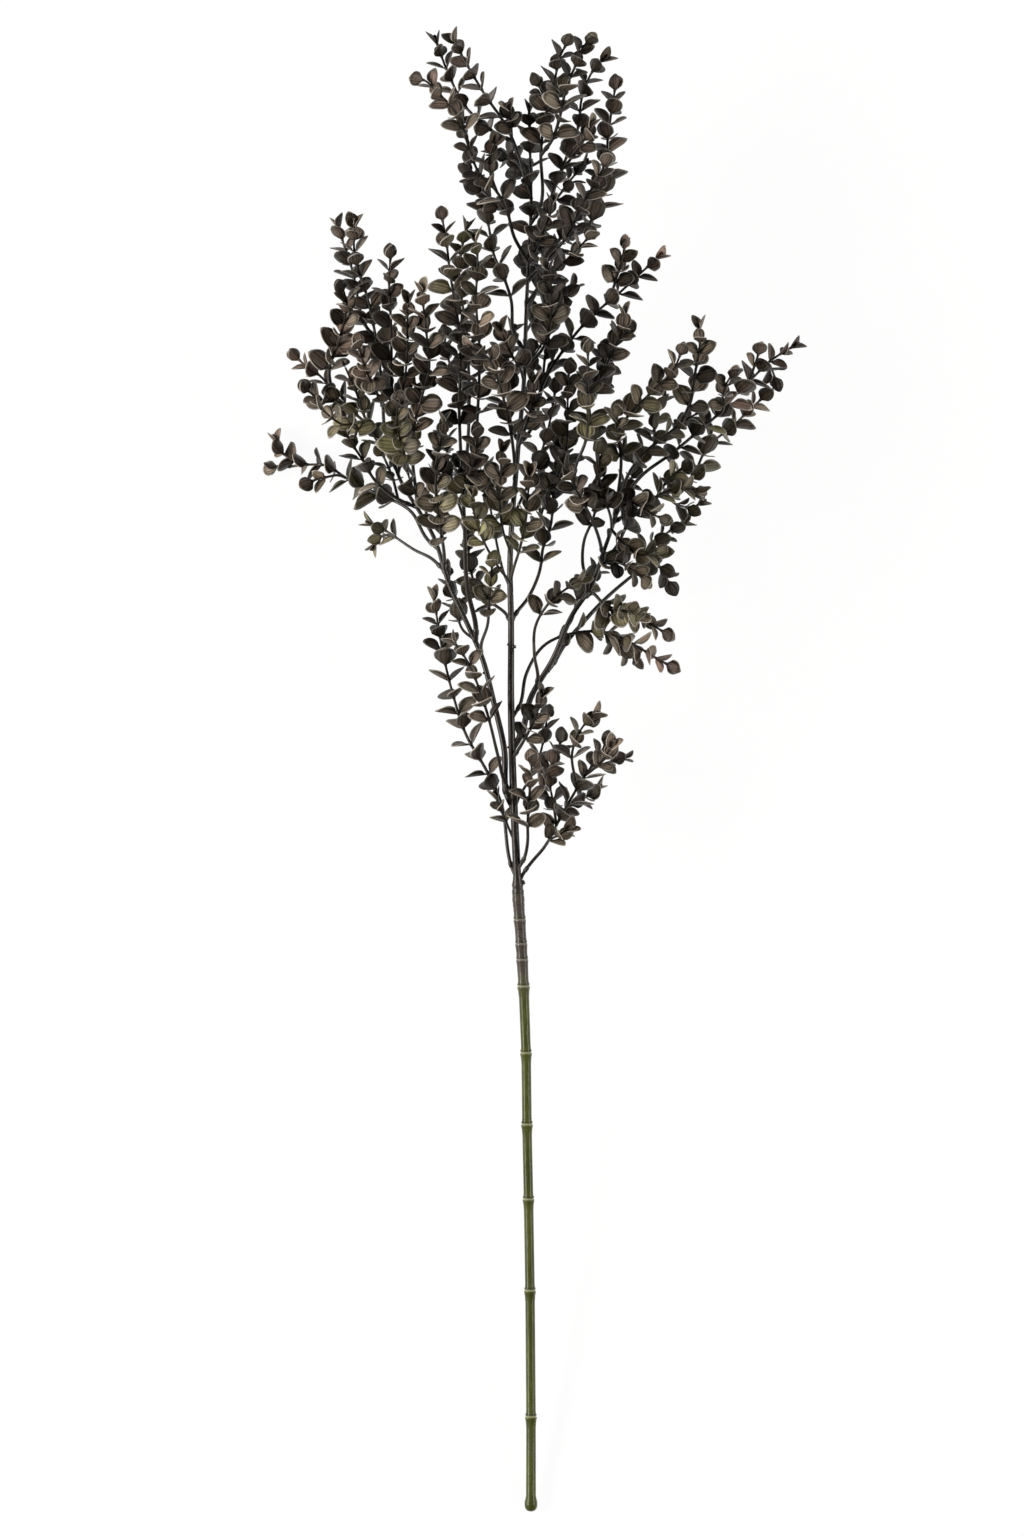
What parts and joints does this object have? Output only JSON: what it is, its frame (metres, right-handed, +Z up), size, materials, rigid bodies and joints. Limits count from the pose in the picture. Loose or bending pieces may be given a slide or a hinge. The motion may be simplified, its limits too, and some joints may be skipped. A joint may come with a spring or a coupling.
{
  "type": "small-leaf eucalyptus branch",
  "caption": "Artificial small-leaf eucalyptus branch lying down: a ringed green cane, forked brown stems and leafy twigs with paired small round dark leaves.",
  "frame": {"origin": "on the surface that the branch lies on, under the middle of its box", "axes": "+Z up from the surface, +Y along the branch from the cane's foot to the crown's tip, +X across it"},
  "size_m": [0.3263, 0.8918, 0.158],
  "materials": {
    "cane_plastic": "moulded olive green plastic, satin, turning grey-brown at its top",
    "stem_plastic": "moulded dark grey-brown plastic, matt and finely wrinkled",
    "leaf_dark": "moulded dark brown-black plastic, matt, with paler rims",
    "leaf_olive": "moulded dark plastic washed with olive green, matt, with paler rims",
    "leaf_dusty": "moulded dark plastic washed with dusty pink-brown, matt, with paler rims"
  },
  "bodies": {
    "root": {"cane": "cane_plastic", "leader": "stem_plastic", "left_stem_outer": "stem_plastic", "left_stem_inner": "stem_plastic", "right_stem_outer": "stem_plastic", "right_stem_inner": "stem_plastic", "twig_01": "leaf_dark", "twig_02": "leaf_dark", "twig_03": "leaf_dark", "twig_04": "leaf_dark", "twig_05": "leaf_dark", "twig_06": "leaf_dark", "twig_07": "leaf_dark", "twig_08": "leaf_dark", "twig_09": "leaf_dark", "twig_10": "leaf_dark", "twig_11": "leaf_dusty", "twig_12": "leaf_dark", "twig_13": "leaf_dark", "twig_14": "leaf_dusty", "twig_15": "leaf_dusty", "twig_16": "leaf_dark", "twig_17": "leaf_dark", "twig_18": "leaf_dusty", "twig_19": "leaf_olive", "twig_20": "leaf_dusty", "twig_21": "leaf_olive", "twig_22": "leaf_olive", "twig_23": "leaf_dark", "twig_24": "leaf_dark", "twig_25": "leaf_dark", "twig_26": "leaf_dark", "twig_27": "leaf_olive", "twig_28": "leaf_dark", "twig_29": "leaf_dark", "twig_30": "leaf_dark", "twig_31": "leaf_dark", "twig_32": "leaf_olive", "twig_33": "leaf_olive", "twig_34": "leaf_dark", "twig_35": "leaf_olive", "twig_36": "leaf_olive", "twig_37": "leaf_dusty", "twig_38": "leaf_dusty", "twig_39": "leaf_olive", "twig_40": "leaf_dark", "twig_41": "leaf_dark", "twig_42": "leaf_dark", "twig_43": "leaf_dark", "twig_44": "leaf_dark", "twig_45": "leaf_dusty", "twig_46": "leaf_dark", "twig_47": "leaf_dark", "twig_48": "leaf_dark", "twig_49": "leaf_dark", "twig_50": "leaf_dark", "twig_51": "leaf_dark", "twig_52": "leaf_dark"}
  },
  "joints": []
}
